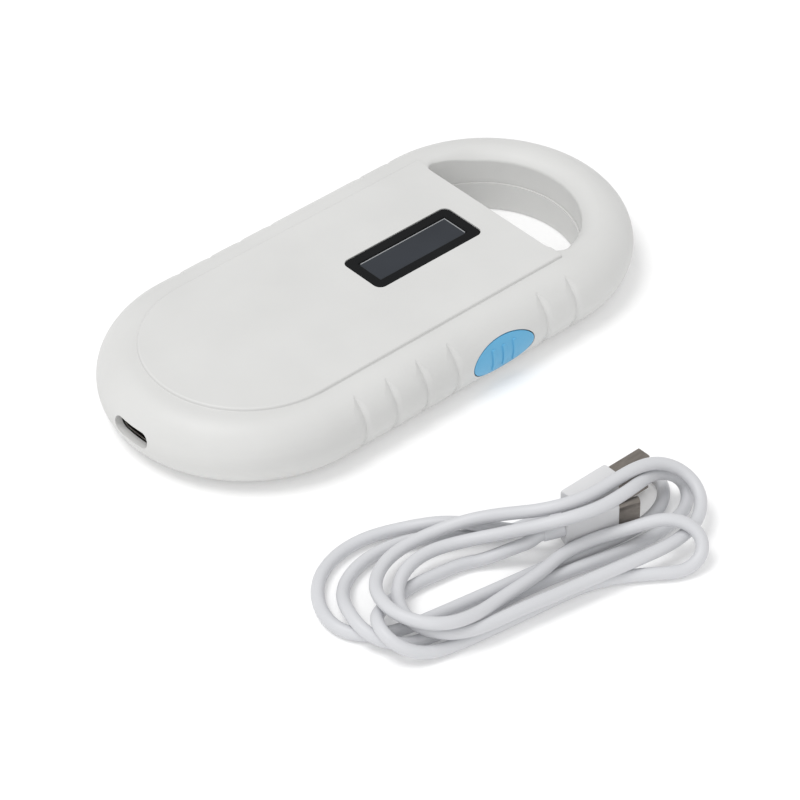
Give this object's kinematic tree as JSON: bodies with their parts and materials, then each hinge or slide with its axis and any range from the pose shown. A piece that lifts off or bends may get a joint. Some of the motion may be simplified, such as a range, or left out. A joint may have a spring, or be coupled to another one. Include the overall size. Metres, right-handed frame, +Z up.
{
  "type": "animal microchip scanner",
  "caption": "Flat handheld animal microchip reader with a D-shaped ring at one end, a small display, a ribbed side button, a charging socket and a loose charging cable.",
  "frame": {"origin": "under the middle of the scanner, on the surface that its flat back lies on", "axes": "+X along the length towards the ring, +Y to the side without the button, +Z up through the display"},
  "size_m": [0.1378, 0.1387, 0.016],
  "materials": {
    "shell": "fine moulded texture",
    "steel": "zinc plated",
    "button": "satin sky-blue plastic",
    "black_plastic": "satin black",
    "window_glass": "clear, slightly tinted",
    "foam": "closed-cell foam",
    "oled_glass": "dark display glass",
    "flex_film": "amber polyimide film",
    "board": "green solder mask",
    "plug_metal": "nickel plated",
    "ivory_plastic": "natural nylon",
    "copper": "enamelled copper wire",
    "battery_foil": "matt pouch foil",
    "tape": "double-sided tape",
    "red_wire": "silicone insulation",
    "black_wire": "silicone insulation",
    "chip": "moulded epoxy",
    "ceramic": "ceramic body",
    "ferrite": "ferrite",
    "cable_jacket": "smooth soft jacket",
    "plug_plastic": "moulded white plastic",
    "gold": "gold plated"
  },
  "bodies": {
    "housing": {"front_cover": "shell", "rear_cover": "shell", "cover_screws": "steel", "board_screws": "steel", "display_bezel": "black_plastic", "display_window": "window_glass", "display_gasket": "foam", "oled_panel": "oled_glass", "oled_flex": "flex_film", "display_pad": "foam", "main_board": "board", "usb_socket_shell": "plug_metal", "usb_socket_tongue": "black_plastic", "switch_body": "black_plastic", "antenna_coil": "copper", "coil_leads": "copper", "battery_cell": "battery_foil", "battery_tape": "tape", "battery_protection": "flex_film", "battery_lead_red": "red_wire", "battery_lead_black": "black_wire", "battery_plug": "ivory_plastic", "battery_socket": "ivory_plastic", "buzzer": "black_plastic", "microcontroller": "chip", "reader_chip": "chip", "charger_chip": "chip", "crystal": "steel", "tuning_capacitors": "ceramic", "power_inductor": "ferrite"},
    "button": {"button_cap": "button"},
    "switch": {"switch_plunger": "ivory_plastic"},
    "cable": {"cable": "cable_jacket", "usb_a_housing": "plug_plastic", "usb_a_shell": "plug_metal", "usb_a_tongue": "ivory_plastic", "usb_a_contacts": "gold", "usb_a_strain_relief": "cable_jacket", "usb_c_housing": "plug_plastic", "usb_c_shell": "plug_metal", "usb_c_insert": "black_plastic", "usb_c_contacts": "gold", "usb_c_strain_relief": "cable_jacket"}
  },
  "joints": [
    {"name": "button_press", "type": "slide", "parent": "housing", "child": "button", "axis": [0, 1, 0], "range_m": [0, 0.0004], "stiffness_N_per_m": 2500, "springref_m": -0.0001},
    {"name": "switch_press", "type": "slide", "parent": "housing", "child": "switch", "axis": [0, 1, 0], "range_m": [0, 0.0004]},
    {"name": "cable_lift", "type": "slide", "parent": "housing", "child": "cable", "axis": [0, 0, 1], "range_m": [0, 0.06]}
  ],
  "couplings": [
    {"joint": "switch_press", "follows": "button_press", "ratio": 1}
  ]
}
